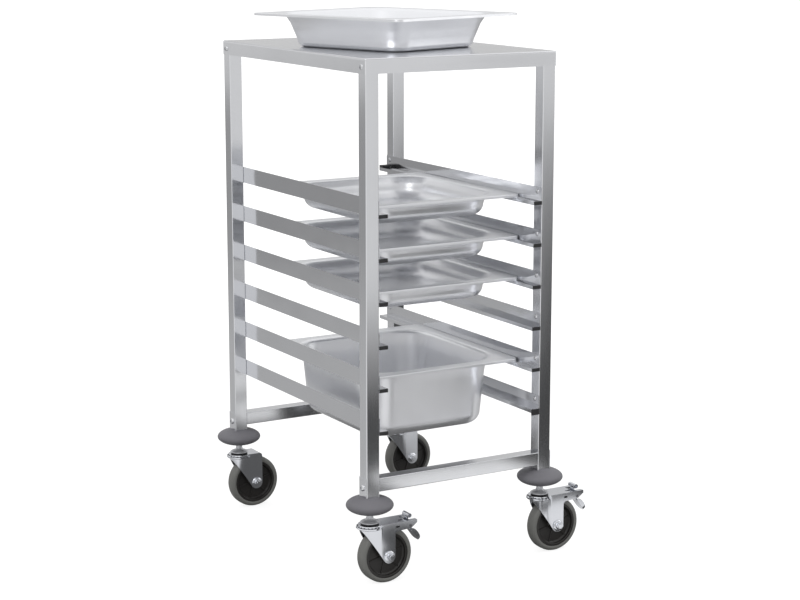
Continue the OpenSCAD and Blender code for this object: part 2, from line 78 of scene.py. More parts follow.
# Sizes of the pans
PAN_W = 325
PAN_L = 354
RIM_W = 17
SHOULDER_W = 12
SHOULDER_H = 6
LIP_H = 4.5
RIM_R = 14
BODY_R = 56
PAN_FORWARD = 34
TABLE_PAN_FORWARD = 30
TABLE_PAN_LEFT = 12
TABLE_PAN_TURN = 18

# Sizes of the casters
WHEEL_R = 50
TYRE_W = 24
TYRE_T = 9
TRAIL = 28.5
FORK_TOP = 109
FORK_W = 38
FORK_SHEET = 2.5
HEAD_Z = 111.9
HEAD_R = 17
RACE_H = 2.6
CROWN_R = 24
CROWN_STEP = 3
CROWN_H = 7
AXLE_R = 4
STEM_R = 5
STEM_IN_LEG = 32
LEG_FOOT = 157.9
BUMPER_Z = 128.9
BUMPER_H = 29
BUMPER_R = 41.5
PIN_X = 70.5
PIN_Z = 99.5
PAD_L = 42
PAD_W = 20
PAD_LEAN = 54

# Sizes of the finer forms, which only this script has
TUBE_BEND = 1.3
WASHER_R = 10.5
BALL_R = 1.4
BALLS = 20
RIBS = 6
RIB_START = 9
RIB_TURN = 15
WEB_HALF = TYRE_W * 0.15
WELL = 5

CORNERS = ("front_left", "front_right", "rear_left", "rear_right")


def middle(node):
    """Middle of a solid's box, in millimetres."""
    low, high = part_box(node)
    return (low + high) / 2 / MM


SHIFT = middle("table_top").x
LEG_AT = {name: middle(f"leg_{name}") for name in CORNERS}
LEG_FACE = LEG_AT["front_right"].x - SHIFT - LEG / 2
LEG_Y = LEG_AT["rear_left"].y


# Colour and materials

def srgb(hex_colour):
    """Linear colour of an sRGB hex value such as "C9CACC"."""
    parts = [int(hex_colour[i:i + 2], 16) / 255 for i in (0, 2, 4)]
    return [p / 12.92 if p <= 0.04045 else ((p + 0.055) / 1.055) ** 2.4 for p in parts] + [1.0]


def add(tree, kind, inputs=None, **settings):
    """Adds a node, sets its options, and gives each named or numbered input a constant or a link."""
    node = tree.nodes.new(kind)
    for name, value in settings.items():
        setattr(node, name, value)
    for name, value in (inputs or {}).items():
        if isinstance(value, bpy.types.NodeSocket):
            tree.links.new(value, node.inputs[name])
        else:
            node.inputs[name].default_value = value
    return node


def new_material(name):
    material = bpy.data.materials.new(name)
    material.use_nodes = True
    material.node_tree.nodes.clear()
    return material, material.node_tree


def grain_noise(tree, place, scale, detail, roughness=0.5):
    """Value of a fine noise at a place, scale cells to the metre."""
    return add(tree, "ShaderNodeTexNoise", {"Vector": place, "Scale": scale, "Detail": detail,
                                            "Roughness": roughness}).outputs["Fac"]


def tinted(tree, clouds, light, dark):
    return add(tree, "ShaderNodeMix", {"Factor": clouds, "A": srgb(dark), "B": srgb(light)},
               data_type="RGBA").outputs["Result"]


def varied(tree, noise, rough, share):
    """Roughness that goes up and down with a noise by a share of its value."""
    return add(tree, "ShaderNodeMapRange",
               {"Value": noise, "From Min": 0.3, "From Max": 0.7, "To Min": rough * (1 - share),
                "To Max": rough * (1 + share)}).outputs["Result"]


def steel(name, light, dark, rough, grain, along, anisotropy, dent=0.00002, wave=0.0, metallic=1.0):
    """Metal with fine lines along one axis. grain is the width of a line in metres, along its stretch
    per axis, dent the depth of the lines, and wave the depth of the broad dents that thin sheet has."""
    material, tree = new_material(name)
    place = add(tree, "ShaderNodeTexCoord").outputs["Object"]
    lines_at = add(tree, "ShaderNodeMapping", {"Vector": place, "Scale": along}).outputs["Vector"]
    lines = grain_noise(tree, lines_at, 1 / grain, 3.0, 0.6)
    clouds = grain_noise(tree, place, 14.0, 2.0)
    bump = add(tree, "ShaderNodeBump", {"Height": lines, "Strength": 0.12, "Distance": dent})
    if wave:
        swell = grain_noise(tree, place, 22.0, 0.0)
        bump = add(tree, "ShaderNodeBump", {"Height": swell, "Strength": 1.0, "Distance": wave,
                                            "Normal": bump.outputs["Normal"]})
    inputs = {"Base Color": tinted(tree, clouds, light, dark), "Metallic": metallic,
              "Roughness": varied(tree, lines, rough, 0.12), "Normal": bump.outputs["Normal"],
              "Anisotropic": anisotropy}
    if anisotropy:
        axis = "XYZ"[min(range(3), key=lambda i: along[i])]
        tangent = add(tree, "ShaderNodeTangent", direction_type="RADIAL", axis=axis)
        inputs["Tangent"] = tangent.outputs["Tangent"]
    shader = add(tree, "ShaderNodeBsdfPrincipled", inputs)
    add(tree, "ShaderNodeOutputMaterial", {"Surface": shader.outputs["BSDF"]})
    return material


def moulded(name, light, dark, rough, pitch, depth, specular=0.5):
    """Plastic or rubber with the spark-eroded skin of its mould; pitch is the size of a grain in metres."""
    material, tree = new_material(name)
    place = add(tree, "ShaderNodeTexCoord").outputs["Object"]
    skin = grain_noise(tree, place, 1 / pitch, 2.0)
    clouds = grain_noise(tree, place, 30.0, 3.0)
    bump = add(tree, "ShaderNodeBump", {"Height": skin, "Strength": 0.3, "Distance": depth})
    shader = add(tree, "ShaderNodeBsdfPrincipled",
                 {"Base Color": tinted(tree, clouds, light, dark),
                  "Roughness": varied(tree, skin, rough, 0.15), "Normal": bump.outputs["Normal"],
                  "Specular IOR Level": specular})
    add(tree, "ShaderNodeOutputMaterial", {"Surface": shader.outputs["BSDF"]})
    return material


# Stainless steel tube and sheet, belt-ground and then polished along each part. Real lines are about
# 0.1 mm wide; they are drawn 0.8 mm wide so that they show, and they pull highlights out across the grain.
STEEL_UP = steel("polished_stainless_upright", "E6E7EA", "DFE0E3", 0.14, 0.0008, (1, 1, 0.02), 0.4)
STEEL_ACROSS = steel("polished_stainless_across", "E8E9EC", "E2E3E6", 0.13, 0.0008, (0.02, 1, 1), 0.3)
STEEL_DEEP = steel("polished_stainless_lengthwise", "E6E7EA", "DFE0E3", 0.16, 0.0008, (1, 0.02, 1), 0.3)
# Thinner cold-rolled sheet of the runners, left with its mill finish: greyer, with the same fine lines
STEEL_MILL = steel("mill_finish_stainless", "DEDFE2", "D8D9DC", 0.12, 0.0008, (1, 0.02, 1), 0.2, wave=0.0008)
# Stainless sheet deep drawn in a die: no grain direction, a soft satin that blurs what it mirrors
STEEL_PAN = steel("drawn_stainless_satin", "F2F3F6", "EEEFF2", 0.32, 0.03, (1, 1, 1), 0.0, 0.000002,
                  metallic=0.8)
# Stainless screws turned and tumbled: bright with tight highlights
STEEL_SCREW = steel("tumbled_stainless", "DADBDD", "D0D1D3", 0.16, 0.0005, (1, 1, 1), 0.0)
# Pressed steel with bright zinc plating: nearly a mirror, a touch blue, with faint clouds from the bath
ZINC = steel("bright_zinc_plate", "E3E5EA", "D6D8DD", 0.13, 0.0009, (1, 1, 1), 0.0, 0.00001)
# The same plating with its whitish passivated skin, on turned and stamped caps: duller and paler
ZINC_SATIN = steel("passivated_zinc_plate", "DADBDE", "CDCFD3", 0.4, 0.0009, (1, 1, 1), 0.0, 0.00001,
                   metallic=0.6)
# Unplated steel of the inserts in the legs and of the pins of the brakes: dull
STEEL_DULL = steel("dull_steel", "8C8C8F", "7C7C80", 0.45, 0.0006, (1, 1, 1), 0.0)
# Thermoplastic rubber bumper from a fine-textured mould: matte, with a broad soft sheen
BUMPER_RUBBER = moulded("grey_bumper_rubber", "7C7B80", "737277", 0.6, 0.0009, 0.00008, 0.4)
# Thermoplastic rubber tyre, moulded on the wheel: a little smoother and warmer than the bumper
TYRE_RUBBER = moulded("grey_tyre_rubber", "7B7B78", "71716E", 0.5, 0.0008, 0.00006, 0.4)
# Black polypropylene wheel body from a polished mould: satin, so its ribs catch thin lines of light
HUB_PLASTIC = moulded("black_polypropylene", "2B2927", "232120", 0.38, 0.0006, 0.00002)
# Black polyethylene end plugs: waxy and matte
PLUG_PLASTIC = moulded("black_polyethylene", "2A2A2C", "202022", 0.5, 0.0007, 0.00003)
# Black nylon of the swivel bearings' dust seals and ball cages, and painted shade: the black sheets behind
# the slots in the forks
SEAL_NYLON = moulded("black_nylon_seal", "1E1E20", "17171A", 0.45, 0.0006, 0.00002)


# Making meshes

def finish_mesh(name, bm, material, sharp=35):
    """Turns a bmesh in metres into an object with smooth shading between its sharp edges."""
    mesh = bpy.data.meshes.new(name)
    bm.to_mesh(mesh)
    bm.free()
    mesh.shade_smooth()
    mesh.set_sharp_from_angle(angle=radians(sharp))
    mesh.materials.append(material)
    made = bpy.data.objects.new(name, mesh)
    scene.collection.objects.link(made)
    return made


def place_piece(made, body, slot, *nodes):
    """Lets a finished piece ride on its body and stand for its solids; slot is not used."""
    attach(made, body)
    if nodes:
        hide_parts(*nodes)


def round_edges(made, width, segments, angle, harden=False):
    """Rounds every edge sharper than angle degrees by width millimetres."""
    bevel = made.modifiers.new("Edges", "BEVEL")
    bevel.width = width * MM
    bevel.segments = segments
    bevel.limit_method = "ANGLE"
    bevel.angle_limit = radians(angle)
    bevel.use_clamp_overlap = True
    bevel.harden_normals = harden
    settle(made)
    return made


def softened(node, name, material, width, segments=2, angle=30):
    """A merged copy of a solid with its edges rounded."""
    bm = bmesh.new()
    bm.from_mesh(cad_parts[node].data)
    bmesh.ops.remove_doubles(bm, verts=bm.verts, dist=0.002 * MM)
    bmesh.ops.dissolve_limit(bm, angle_limit=radians(0.5), verts=bm.verts, edges=bm.edges)
    return round_edges(finish_mesh(name, bm, material), width, segments, angle, harden=True)


def settle(made):
    """Applies every modifier of a piece by putting its evaluated mesh in its place."""
    shape = made.evaluated_get(bpy.context.evaluated_depsgraph_get())
    mesh = bpy.data.meshes.new_from_object(shape)
    made.modifiers.clear()
    made.data = mesh


def ring(bm, points):
    return [bm.verts.new(Vector(p) * MM) for p in points]


def stitch(bm, rings):
    """Quads between closed rings of equal length, one after the other."""
    for a, b in zip(rings, rings[1:]):
        for i in range(len(a)):
            j = (i + 1) % len(a)
            bm.faces.new((a[i], a[j], b[j], b[i]))


def outward(bm):
    bmesh.ops.remove_doubles(bm, verts=bm.verts, dist=0.001 * MM)
    bmesh.ops.recalc_face_normals(bm, faces=bm.faces)


def rounded(w, l, r, steps):
    """Outline of a rounded rectangle round the origin, the same number of points whatever its radius."""
    r = max(min(r, w / 2, l / 2), 0.01)
    points = []
    for corner, (sx, sy) in enumerate(((1, 1), (-1, 1), (-1, -1), (1, -1))):
        for i in range(steps + 1):
            turn = radians(corner * 90 + i * 90 / steps)
            points.append((sx * (w / 2 - r) + r * cos(turn), sy * (l / 2 - r) + r * sin(turn)))
    return points


def pressed(profile, w, l, steps, thick):
    """A pressed sheet, with its thickness under the profile, which runs from the free edge to the middle as
    (inset, z, corner radius)."""
    bm = bmesh.new()
    skins = []
    for offset in (0, thick):
        rings = []
        for i, (inset, z, radius) in enumerate(profile):
            before, after = profile[max(i - 1, 0)], profile[min(i + 1, len(profile) - 1)]
            run, rise = after[0] - before[0], after[1] - before[1]
            length = hypot(run, rise) or 1
            grown = offset * rise / length
            outline = rounded(w - 2 * (inset + grown), l - 2 * (inset + grown), radius - grown, steps)
            rings.append(ring(bm, [(x, y, z - offset * run / length) for x, y in outline]))
        stitch(bm, rings)
        bm.faces.new(rings[-1])
        skins.append(rings)
    stitch(bm, [skins[0][0], skins[1][0]])
    outward(bm)
    return bm


def arc(centre, radius, start, end, steps):
    """Points (run, rise) on an arc, angles in degrees."""
    return [(centre[0] + radius * cos(radians(start + (end - start) * i / steps)),
             centre[1] + radius * sin(radians(start + (end - start) * i / steps))) for i in range(steps + 1)]


def lathe(name, outline, material, at, axis="Z", steps=72, sharp=30):
    """Spins (radius, height) points round an axis through a place; outline is closed if its ends meet."""
    bm = bmesh.new()
    rings = []
    for radius, height in outline:
        turned = []
        for i in range(steps):
            a, b = radius * cos(2 * pi * i / steps), radius * sin(2 * pi * i / steps)
            turned.append((at[0] + a, at[1] + b, at[2] + height) if axis == "Z"
                          else (at[0] + a, at[1] + height, at[2] + b))
        rings.append(ring(bm, turned))
    stitch(bm, rings)
    outward(bm)
    return finish_mesh(name, bm, material, sharp)


def tube(name, material, size, start, end, axis):
    """Square tube with rounded corners, open at both ends, from start to end along one axis."""
    bm = bmesh.new()
    middle_a, middle_b = [start[i] for i in range(3) if i != axis]

    def loop(side, radius, along):
        points = []
        for a, b in rounded(side, side, radius, 4):
            point = [middle_a + a, middle_b + b]
            point.insert(axis, along)
            points.append(point)
        return ring(bm, points)

    inner_bend = max(TUBE_BEND - TUBE_WALL, 0.4)
    outer = [loop(size, TUBE_BEND, v[axis]) for v in (start, end)]
    inner = [loop(size - 2 * TUBE_WALL, inner_bend, v[axis]) for v in (start, end)]
    stitch(bm, [outer[0], outer[1], inner[1], inner[0], outer[0]])
    outward(bm)
    made = finish_mesh(name, bm, material)
    flat = made.modifiers.new("Flat sides", "WEIGHTED_NORMAL")
    flat.keep_sharp = True
    settle(made)
    return made


# Repeated pieces

def repeat_tree():
    """Copies a shape onto every point, turned as the point's attribute says."""
    tree = bpy.data.node_groups.new("repeat_shape", "GeometryNodeTree")
    for name, kind in (("Points", "Geometry"), ("Shape", "Object"), ("Finish", "Material")):
        tree.interface.new_socket(name, in_out="INPUT", socket_type=f"NodeSocket{kind}")
    tree.interface.new_socket("Pieces", in_out="OUTPUT", socket_type="NodeSocketGeometry")
    given = add(tree, "NodeGroupInput").outputs
    shape = add(tree, "GeometryNodeObjectInfo", {"Object": given["Shape"]}).outputs["Geometry"]
    turn = add(tree, "GeometryNodeInputNamedAttribute", {"Name": "turn"}, data_type="FLOAT_VECTOR")
    copies = add(tree, "GeometryNodeInstanceOnPoints",
                 {"Points": given["Points"], "Instance": shape, "Rotation": turn.outputs["Attribute"]})
    real = add(tree, "GeometryNodeRealizeInstances", {"Geometry": copies.outputs["Instances"]})
    done = add(tree, "GeometryNodeSetMaterial", {"Geometry": real.outputs["Geometry"],
                                                 "Material": given["Finish"]})
    add(tree, "NodeGroupOutput", {"Pieces": done.outputs["Geometry"]})
    return tree


REPEAT = repeat_tree()


def repeated(name, shape, places, material):
    """One mesh of copies of shape; places are (point in millimetres, (turn about x, y, z in degrees))."""
    mesh = bpy.data.meshes.new(name)
    mesh.from_pydata([Vector(at) * MM for at, turn in places], [], [])
    turns = mesh.attributes.new("turn", "FLOAT_VECTOR", "POINT")
    turns.data.foreach_set("vector", [radians(t) for at, turn in places for t in turn])
    made = bpy.data.objects.new(name, mesh)
    scene.collection.objects.link(made)
    modifier = made.modifiers.new("Repeat", "NODES")
    modifier.node_group = REPEAT
    keys = {item.name: item.identifier for item in REPEAT.interface.items_tree if item.in_out == "INPUT"}
    modifier[keys["Shape"]] = shape
    modifier[keys["Finish"]] = material
    settle(made)
    made.data.materials.clear()
    made.data.materials.append(material)
    return made


def screw_head(name, radius, height, socket):
    """Button head with a six-sided socket, its seat at the origin and its top along +Z."""
    bm = bmesh.new()
    steps = 24
    edge = 0.22
    dome = [(radius, 0), (radius, height * edge)]
    for angle in (22, 42, 58):
        rise = edge + (1 - edge) * sin(radians(angle))
        dome.append((radius * cos(radians(angle)) ** 0.8, height * rise))
    turns = [2 * pi * i / steps for i in range(steps)]
    rings = [ring(bm, [(r * cos(turn), r * sin(turn), z) for turn in turns]) for r, z in dome]

    def hexagon(z):
        points = []
        for turn in turns:
            side = cos((turn % (pi / 3)) - pi / 6)
            points.append((socket / side * cos(turn), socket / side * sin(turn), z))
        return ring(bm, points)

    socket_floor = height * 0.35
    rings += [hexagon(height), hexagon(socket_floor)]
    stitch(bm, rings)
    bm.faces.new(rings[-1])
    bm.faces.new(rings[0])
    outward(bm)
    return finish_mesh(name, bm, STEEL_SCREW)


def heads(name, node, places, radius, height, socket):
    """Puts a button head at each place, for one group of screws or bolts of the frame."""
    pattern = screw_head(f"{name}_pattern", radius, height, socket)
    place_piece(repeated(name, pattern, places, STEEL_SCREW), "frame", "fastener_steel", node)
    bpy.data.objects.remove(pattern)


def outer_places(reach, z):
    """Places on the left and right side, reach from the middle, at the four legs; heads point outwards."""
    return [((SHIFT + side * reach, end * LEG_Y, z), (0, side * 90, 0))
            for side in (-1, 1) for end in (-1, 1)]


# Frame of the trolley

def table_top():
    """Sheet top with its edges turned down over a bend."""
    bend, corner_r = 2.0, 1.6
    profile = [(0, -SKIRT_H), (0, -SKIRT_H * 0.6), (0, -bend - 2)]
    profile += arc((bend, -bend), bend, 180, 90, 5)
    profile += [(inset, 0) for inset in (8, 60, 120)]
    rows = [(inset, z, corner_r) for inset, z in profile]
    low, high = (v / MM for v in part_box("table_top"))
    bm = pressed(rows, high.x - low.x, high.y - low.y, 5, SHEET)
    bmesh.ops.translate(bm, verts=bm.verts, vec=Vector((SHIFT, 0, TABLE_H)) * MM)
    return finish_mesh("table_sheet", bm, STEEL_DEEP)


place_piece(table_top(), "frame", "frame_steel", "table_top")

for name, at in LEG_AT.items():
    made = tube(f"leg_tube_{name}", STEEL_UP, LEG, (at.x, at.y, LEG_FOOT), (at.x, at.y, TABLE_H - SHEET), 2)
    place_piece(made, "frame", "frame_steel", f"leg_{name}")

for name in ("crossbar_front", "crossbar_rear"):
    low, high = (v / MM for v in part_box(name))
    at = middle(name)
    made = tube(f"{name}_tube", STEEL_ACROSS, high.z - low.z, (low.x, at.y, at.z), (high.x, at.y, at.z), 0)
    place_piece(made, "frame", "frame_steel", name)

for side in ("left", "right"):
    for level in range(1, 7):
        node = f"runner_{side}_{level}"
        made = softened(node, f"{node}_folded", STEEL_MILL, 0.35)
        place_piece(made, "frame", "frame_steel", node)

screw_lift = RUNNER_H - LEDGE_H - SCREW_DROP
inner = [((SHIFT + side * (LEG_FACE - RUNNER_SHEET), end * LEG_Y, top + screw_lift), (0, -side * 90, 0))
         for side in (-1, 1) for end in (-1, 1) for top in LEDGE_TOPS]
heads("runner_screw_heads", "runner_screws", inner, radius=4, height=2, socket=1.5)

low, high = (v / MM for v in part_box("table_top"))
heads("table_screw_heads", "table_screws", outer_places((high.x - low.x) / 2, TABLE_H - TABLE_SCREW_DROP),
      radius=5.2, height=2.4, socket=2.1)

low, high = (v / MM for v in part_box("leg_foot_plates"))
heads("foot_bolt_heads", "leg_foot_bolts", outer_places((high.x - low.x) / 2, (low.z + high.z) / 2),
      radius=5.8, height=3.4, socket=2.4)

place_piece(softened("leg_foot_plates", "foot_plates", STEEL_UP, 0.4), "frame", "fastener_steel",
            "leg_foot_plates")
place_piece(softened("leg_inserts", "foot_inserts", STEEL_DULL, 0.6), "frame", "insert_steel", "leg_inserts")
place_piece(softened("runner_end_plugs", "ledge_plugs", PLUG_PLASTIC, 0.45, 3), "frame", "black_plastic",
            "runner_end_plugs")
place_piece(softened("runner_rear_stops", "rear_stop_blocks", PLUG_PLASTIC, 0.6, 3), "frame", "black_plastic",
            "runner_rear_stops")


# Bumpers and casters

def bumper_outline():
    """Round buffer with flat seats and a full round edge."""
    half = BUMPER_H / 2
    seat = LEG * 0.72
    bore = STEM_R + 0.3
    ends = acos(seat / BUMPER_R)
    steps = 28
    turns = [-ends + 2 * ends * i / steps for i in range(steps + 1)]
    side = [(BUMPER_R * cos(turn), half * sin(turn) / sin(ends)) for turn in turns]
    return [(bore, -half)] + side + [(bore, half), (bore, -half)]


def head_outline():
    """Swivel head: a low cap with pressed rings, which rises to the collar under the bumper, and its stem."""
    centre = 0.02
    bend = 0.8
    neck = STEM_R + 1
    top = BUMPER_Z - HEAD_Z
    stem_top = LEG_FOOT + STEM_IN_LEG - HEAD_Z
    cap = arc((HEAD_R - bend, bend), bend, -90, 40, 5)
    cap += [(HEAD_R - inset, z) for inset, z in ((1.4, 2.1), (2.6, 2.9), (3.4, 2.7), (4.2, 3.3))]
    cap += [(neck + out, z) for out, z in ((4.2, 4.3), (3.5, 4.1), (2.6, 4.9), (1.4, 6.2), (0.4, 8.2))]
    stem = [(neck, 10.4), (neck, top), (STEM_R, top), (STEM_R, stem_top), (centre, stem_top)]
    return [(centre, 0)] + cap + stem


def washer_outline():
    """Domed washer of the axle, from the face of the fork outwards (towards the front)."""
    edge = 0.3
    height = 2.8
    return [(AXLE_R, 0), (WASHER_R - edge, 0), (WASHER_R, -0.4), (WASHER_R - edge, -1.0),
            (WASHER_R - 1.6, -1.9), (AXLE_R + 3, -2.6), (AXLE_R, -height), (AXLE_R, 0)]


def seal_outline():
    """Dust seal between crown and swivel head, with its outer edges broken."""
    bore, outer, edge = 6.6, HEAD_R - 1, 0.5
    return [(bore, 0), (outer - 0.4, 0), (outer, edge), (outer, RACE_H - edge), (outer - 0.4, RACE_H),
            (bore, RACE_H), (bore, 0)]


def tyre_outline():
    """Tyre with flat sides, round shoulders and a slightly crowned tread."""
    inner = WHEEL_R - TYRE_T
    half = TYRE_W / 2
    round_r, round_w = 6.5, 7.5
    side = WHEEL_R - round_r
    tread = [(inner, -half + 1), (side, -half)]
    for angle in (15, 30, 45, 60, 75):
        turn = radians(angle)
        tread.append((side + round_r * sin(turn), -half + round_w * (1 - cos(turn))))
    tread += [(WHEEL_R - 0.25, -3.5), (WHEEL_R - 0.02, -1.2), (WHEEL_R, 0)]
    mirrored = [(r, -h) for r, h in reversed(tread[:-1])]
    return tread + mirrored + [tread[0]]


def hub_outline():
    """Wheel body: a rim under the tyre with a lip on each face, a thin web and a long boss on the axle."""
    rim = WHEEL_R - TYRE_T
    well = rim - WELL
    half = TYRE_W / 2 - 1
    boss_r, edge = 10, 0.8
    boss = FORK_W / 2 - FORK_SHEET - 0.3
    lip = 0.6
    face = [(AXLE_R + 0.05, boss), (boss_r - edge, boss), (boss_r, boss - edge), (boss_r, WEB_HALF + 2),
            (boss_r + 2, WEB_HALF), (well - 2.5, WEB_HALF), (well, WEB_HALF + 2.5), (well + lip, half - lip),
            (well + 2 * lip, half), (rim - lip, half), (rim, half - lip)]
    return face + [(r, -h) for r, h in reversed(face)] + [face[0]]


def rib_shape():
    """Rib of the wheel's web: thin, tapered towards its top, from the boss to the rim."""
    bm = bmesh.new()
    length = WHEEL_R - TYRE_T - WELL - RIB_START
    loops = []
    for height, half, drop in ((0, 1.3, 0), (1.6, 0.95, 0), (2.0, 0.5, 0.4)):
        loops.append(ring(bm, [(0, -half, height), (length, -half, height - drop),
                               (length, half, height - drop), (0, half, height)]))
    stitch(bm, loops)
    bm.faces.new(loops[-1])
    bm.faces.new(loops[0])
    outward(bm)
    return finish_mesh("rib_pattern", bm, HUB_PLASTIC)


def ball_shape():
    bm = bmesh.new()
    bmesh.ops.create_icosphere(bm, subdivisions=2, radius=BALL_R * MM)
    return finish_mesh("ball_pattern", bm, SEAL_NYLON, 60)


def ball_places(x, y):
    """Ring of balls that shows in the gap between the crown of the fork and the swivel head."""
    track = CROWN_R - CROWN_STEP + 0.5
    z = FORK_TOP - CROWN_H / 2 + 0.4
    turns = [2 * pi * i / BALLS for i in range(BALLS)]
    return [((x + track * cos(turn), y + track * sin(turn), z), (0, 0, 0)) for turn in turns]


def rib_places(axle):
    """Ribs on both faces of a wheel; each is turned about the axle and then laid over onto its face."""
    places = []
    for face in (-1, 1):
        for i in range(RIBS):
            turn = radians(360 / RIBS * i + RIB_TURN)
            at = (axle[0] + RIB_START * cos(turn), axle[1] + face * WEB_HALF, axle[2] + RIB_START * sin(turn))
            laid = Matrix.Rotation(radians(-90 * face), 3, "X")
            flat = Matrix.Rotation(turn, 3, "Y").inverted() @ laid
            places.append((at, [degrees(v) for v in flat.to_euler()]))
    return places


def joined(name, parts):
    """Merges several pieces into one object."""
    with bpy.context.temp_override(active_object=parts[0], selected_editable_objects=parts):
        bpy.ops.object.join()
    parts[0].name = name
    return parts[0]


def caster(name, x, y, ball, rib):
    """Bumper, swivel head, fork, axle and wheel of one corner."""
    bumper_at = (x, y, BUMPER_Z + BUMPER_H / 2)
    place_piece(lathe(f"bumper_disc_{name}", bumper_outline(), BUMPER_RUBBER, bumper_at, sharp=50),
                "frame", "bumper_rubber", f"bumper_{name}")
    place_piece(lathe(f"swivel_head_{name}", head_outline(), ZINC_SATIN, (x, y, HEAD_Z)),
                "frame", "caster_plate", f"caster_stem_{name}")
    body = f"caster_{name}"
    place_piece(softened(f"fork_{name}", f"fork_plate_{name}", ZINC, 0.6, 3, 25), body, "caster_plate",
                f"fork_{name}")
    place_piece(repeated(f"swivel_balls_{name}", ball, ball_places(x, y), SEAL_NYLON), body, "bearing_dark")
    place_piece(softened(f"axle_{name}", f"axle_bolt_{name}", ZINC, 0.5), body, "caster_plate",
                f"axle_{name}")
    washer_at = (x + TRAIL, y - FORK_W / 2, WHEEL_R)
    place_piece(lathe(f"axle_washer_{name}", washer_outline(), ZINC, washer_at, "Y", 48),
                body, "caster_plate")
    wheel = f"wheel_{name}"
    axle = (x + TRAIL, y, WHEEL_R)
    place_piece(lathe(f"tyre_ring_{name}", tyre_outline(), TYRE_RUBBER, axle, "Y", 96, 50), wheel,
                "tyre_rubber", f"tyre_{name}")
    place_piece(lathe(f"wheel_body_{name}", hub_outline(), HUB_PLASTIC, axle, "Y", 96), wheel,
                "hub_plastic", f"hub_{name}")
    place_piece(repeated(f"wheel_ribs_{name}", rib, rib_places(axle), HUB_PLASTIC), wheel, "hub_plastic")


rib_pattern = rib_shape()
ball_pattern = ball_shape()
for name in CORNERS:
    caster(name, LEG_AT[name].x, LEG_AT[name].y, ball_pattern, rib_pattern)
bpy.data.objects.remove(rib_pattern)
bpy.data.objects.remove(ball_pattern)

seals = [lathe(f"seal_{name}", seal_outline(), SEAL_NYLON, (at.x, at.y, HEAD_Z - RACE_H), steps=48)
         for name, at in LEG_AT.items()]
place_piece(joined("bearing_seals", seals), "frame", "bearing_dark", "swivel_rings")


# Brakes

# Down along the foot of a pedal, and out from the wheel; the copied rocker is cut off inside the shoe, at
# ROCKER_END from the pin
PEDAL_ALONG = Vector((cos(radians(PAD_LEAN)), 0, -sin(radians(PAD_LEAN))))
PEDAL_ACROSS = Vector((sin(radians(PAD_LEAN)), 0, cos(radians(PAD_LEAN))))
ROCKER_END = 17


def brake_shoe(name, pin):
    """Foot of the pedal: a leaf-shaped scoop pressed from sheet, with its open side away from the wheel."""
    half_long, half_deep, half_wide = 14.5, 3.9, PAD_W / 2
    least_deep, least_wide = 0.8, 3.5
    sheet = 1.3
    middle_s = PAD_L - half_long - 1.5
    steps = 20
    bm = bmesh.new()
    loops = []
    for i in range(steps + 1):
        turn = pi * i / steps
        s = middle_s - (half_long - 0.2) * cos(turn)
        half = max(half_deep * sin(turn) ** 0.8, least_deep)
        bulge = (half_deep - 1.2) * sin(turn)
        past = max(s - (PAD_L - half_wide), 0) / half_wide
        side = max(half_wide * (1 - past * past) ** 0.5, least_wide)
        floor_p = min(-half + sheet, half - 0.1)
        section = [(-side, half), (-side, -half), (side, -half), (side, half), (side - sheet, half),
                   (side - sheet, floor_p), (sheet - side, floor_p), (sheet - side, half)]
        centre = Vector(pin) + PEDAL_ALONG * s + PEDAL_ACROSS * bulge
        loops.append(ring(bm, [centre + PEDAL_ACROSS * p + Vector((0, y, 0)) for y, p in section]))
    stitch(bm, loops)
    bm.faces.new(loops[0])
    bm.faces.new(loops[-1])
    outward(bm)
    return round_edges(finish_mesh(name, bm, ZINC), 0.35, 2, 40)


def rocker(node, name, pin):
    """Upper part of a pedal: the copy of the CAD piece ends inside the shoe."""
    made = softened(node, name, ZINC, 0.5, 3)
    bm = bmesh.new()
    bm.from_mesh(made.data)
    end = (Vector(pin) + PEDAL_ALONG * ROCKER_END) * MM
    cut = bmesh.ops.bisect_plane(bm, geom=bm.verts[:] + bm.edges[:] + bm.faces[:], dist=0.000001,
                                 plane_co=end, plane_no=PEDAL_ALONG, clear_outer=True)
    rim = [part for part in cut["geom_cut"] if isinstance(part, bmesh.types.BMEdge)]
    bmesh.ops.holes_fill(bm, edges=rim)
    bm.to_mesh(made.data)
    bm.free()
    return made


def slot_shade_sheets(name, at):
    """Painted shade: black nylon sheets behind the slots in both flanges of a front fork, so they look dark.
    """
    near, far, bottom, top = 41, 49, 99, 104
    thick = 0.8
    bm = bmesh.new()
    corners = ((near, bottom), (far, bottom), (far, top), (near, top))
    for side in (-1, 1):
        outer = side * (FORK_W / 2 - FORK_SHEET)
        loops = [ring(bm, [(at.x + x, at.y + y, z) for x, z in corners])
                 for y in (outer - side * thick, outer)]
        stitch(bm, loops)
        bm.faces.new(loops[0])
        bm.faces.new(loops[1])
    outward(bm)
    return finish_mesh(name, bm, SEAL_NYLON)


for side in ("left", "right"):
    body = f"brake_{side}"
    at = LEG_AT[f"front_{side}"]
    pin = (at.x + PIN_X, at.y, PIN_Z)
    place_piece(rocker(f"brake_pedal_{side}", f"brake_rocker_{side}", pin), body, "caster_plate",
                f"brake_pedal_{side}")
    place_piece(brake_shoe(f"brake_shoe_{side}", pin), body, "caster_plate")
    # Painted shade: black sheets behind the fork slots stand in for the shade inside the fork
    place_piece(slot_shade_sheets(f"slot_back_{side}", at), f"caster_front_{side}", "bearing_dark")
    place_piece(softened(f"brake_pin_{side}", f"brake_rivet_{side}", STEEL_DULL, 0.3),
                f"caster_front_{side}", "bearing_dark", f"brake_pin_{side}")


# Pans

